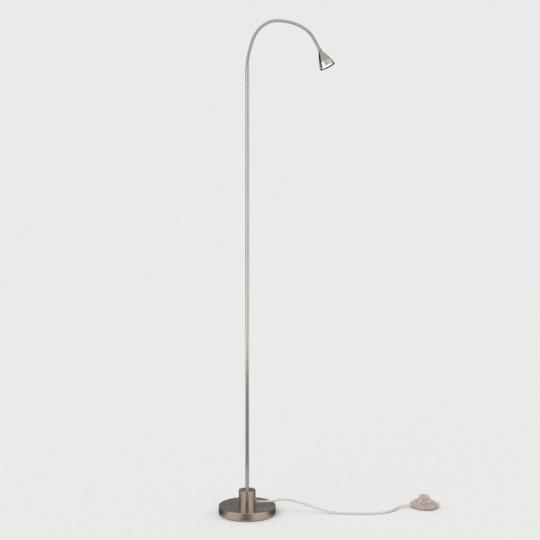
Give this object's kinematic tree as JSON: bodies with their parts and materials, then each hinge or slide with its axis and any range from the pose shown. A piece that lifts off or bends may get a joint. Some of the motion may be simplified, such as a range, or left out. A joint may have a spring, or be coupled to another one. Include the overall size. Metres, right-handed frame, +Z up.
{
  "type": "gooseneck reading floor lamp",
  "caption": "Slim floor lamp: weighted round base, thin pole, wound gooseneck arm that bends any way, small trumpet head, and a clear round foot switch on its cord.",
  "frame": {"origin": "centre of the base's resting face, on the floor", "axes": "+Z up along the pole, +X the way that the arm arches and the cord leaves"},
  "size_m": [0.5941, 0.167, 1.3004],
  "materials": {
    "satin_nickel": "satin nickel, fine brushed",
    "wound_steel": "wound bright steel",
    "head_nickel": "satin nickel plated",
    "polished_ring": "polished nickel",
    "felt": "felt",
    "cast_weight": "raw casting",
    "zinc_steel": "zinc plated",
    "hub_casting": "as turned",
    "grey_bush": "smooth grey plastic",
    "clear_cord": "translucent grey sheath",
    "white_plastic": "smooth white plastic",
    "black_plastic": "matte black",
    "board_green": "solder mask",
    "component_yellow": "wound tape",
    "can_aluminium": "sleeved can",
    "brass": "plain brass",
    "sink_aluminium": "as cast",
    "phosphor": "phosphor coating",
    "frosted_lens": "frosted",
    "clear_plastic": "clear polished plastic",
    "unit_grey": "dark grey moulding",
    "contact_bronze": "bronze wire",
    "rubber": "matte rubber"
  },
  "bodies": {
    "stand": {"felt_pad": "felt", "base_plate": "zinc_steel", "plate_screws": "zinc_steel", "base_weight": "cast_weight", "base_cover": "satin_nickel", "base_washer": "zinc_steel", "base_bolt": "zinc_steel", "hub_base": "hub_casting", "hub_cover": "satin_nickel", "hub_gland": "grey_bush", "hub_cord_tail": "clear_cord", "cord_clamp": "white_plastic", "hub_screws": "zinc_steel", "terminal_block": "white_plastic", "driver_board": "board_green", "driver_transformer": "component_yellow", "driver_capacitor": "can_aluminium", "pole_nipple": "zinc_steel", "pole_nut": "brass", "pole_lower": "satin_nickel", "pole_middle": "satin_nickel", "pole_upper": "satin_nickel", "pole_studs": "zinc_steel", "pole_lead": "black_plastic", "arm_lower_fitting": "satin_nickel", "switch_bottom": "clear_plastic", "switch_top": "clear_plastic", "button_spring": "contact_bronze", "switch_unit": "unit_grey", "switch_terminals": "brass", "switch_clamps": "clear_plastic", "switch_screws": "zinc_steel", "switch_feet": "rubber", "switch_gland_in": "clear_plastic", "switch_gland_out": "clear_plastic", "switch_cord_tail": "clear_cord", "cord": "clear_cord", "arm_segment_1": "wound_steel"},
    "arm_2": {"arm_segment_2": "wound_steel"},
    "arm_3": {"arm_segment_3": "wound_steel"},
    "arm_4": {"arm_segment_4": "wound_steel"},
    "arm_5": {"arm_segment_5": "wound_steel"},
    "arm_6": {"arm_segment_6": "wound_steel"},
    "arm_7": {"arm_segment_7": "wound_steel"},
    "arm_8": {"arm_segment_8": "wound_steel"},
    "head": {"arm_segment_9": "wound_steel", "neck_fitting": "satin_nickel", "head_shell": "head_nickel", "neck_nut": "brass", "heat_sink": "sink_aluminium", "led_board": "white_plastic", "led_emitter": "phosphor", "led_screws": "zinc_steel", "reflector": "white_plastic", "lens": "frosted_lens", "lens_retainer": "black_plastic", "front_ring": "polished_ring", "head_lead": "black_plastic"},
    "button": {"switch_button": "clear_plastic"}
  },
  "joints": [
    {"name": "arm_bend_1", "type": "hinge", "parent": "stand", "child": "arm_2", "pos_m": [0.00382, 0, 1.20799], "axis": [0, 1, 0], "range_deg": [-15, 15]},
    {"name": "arm_sideways_2", "type": "hinge", "parent": "arm_2", "child": "arm_3", "pos_m": [0.01284, 0, 1.24053], "axis": [0.9511, 0, -0.309], "range_deg": [-15, 15]},
    {"name": "arm_bend_3", "type": "hinge", "parent": "arm_3", "child": "arm_4", "pos_m": [0.02862, 0, 1.27021], "axis": [0, 1, 0], "range_deg": [-15, 15]},
    {"name": "arm_bend_4", "type": "hinge", "parent": "arm_4", "child": "arm_5", "pos_m": [0.05497, 0, 1.2908], "axis": [0, 1, 0], "range_deg": [-15, 15]},
    {"name": "arm_sideways_5", "type": "hinge", "parent": "arm_5", "child": "arm_6", "pos_m": [0.08796, 0, 1.29602], "axis": [-0.1045, 0, -0.9945], "range_deg": [-15, 15]},
    {"name": "arm_bend_6", "type": "hinge", "parent": "arm_6", "child": "arm_7", "pos_m": [0.12101, 0, 1.2893], "axis": [0, 1, 0], "range_deg": [-15, 15]},
    {"name": "arm_bend_7", "type": "hinge", "parent": "arm_7", "child": "arm_8", "pos_m": [0.15139, 0, 1.27481], "axis": [0, 1, 0], "range_deg": [-15, 15]},
    {"name": "arm_sideways_8", "type": "hinge", "parent": "arm_8", "child": "head", "pos_m": [0.17423, 0, 1.25031], "axis": [-0.866, 0, -0.5], "range_deg": [-15, 15]},
    {"name": "button_press", "type": "slide", "parent": "stand", "child": "button", "axis": [0, 0, -1], "range_m": [0, 0.004], "stiffness_N_per_m": 600, "springref_m": -0.003, "deforming": ["button_spring"]}
  ]
}
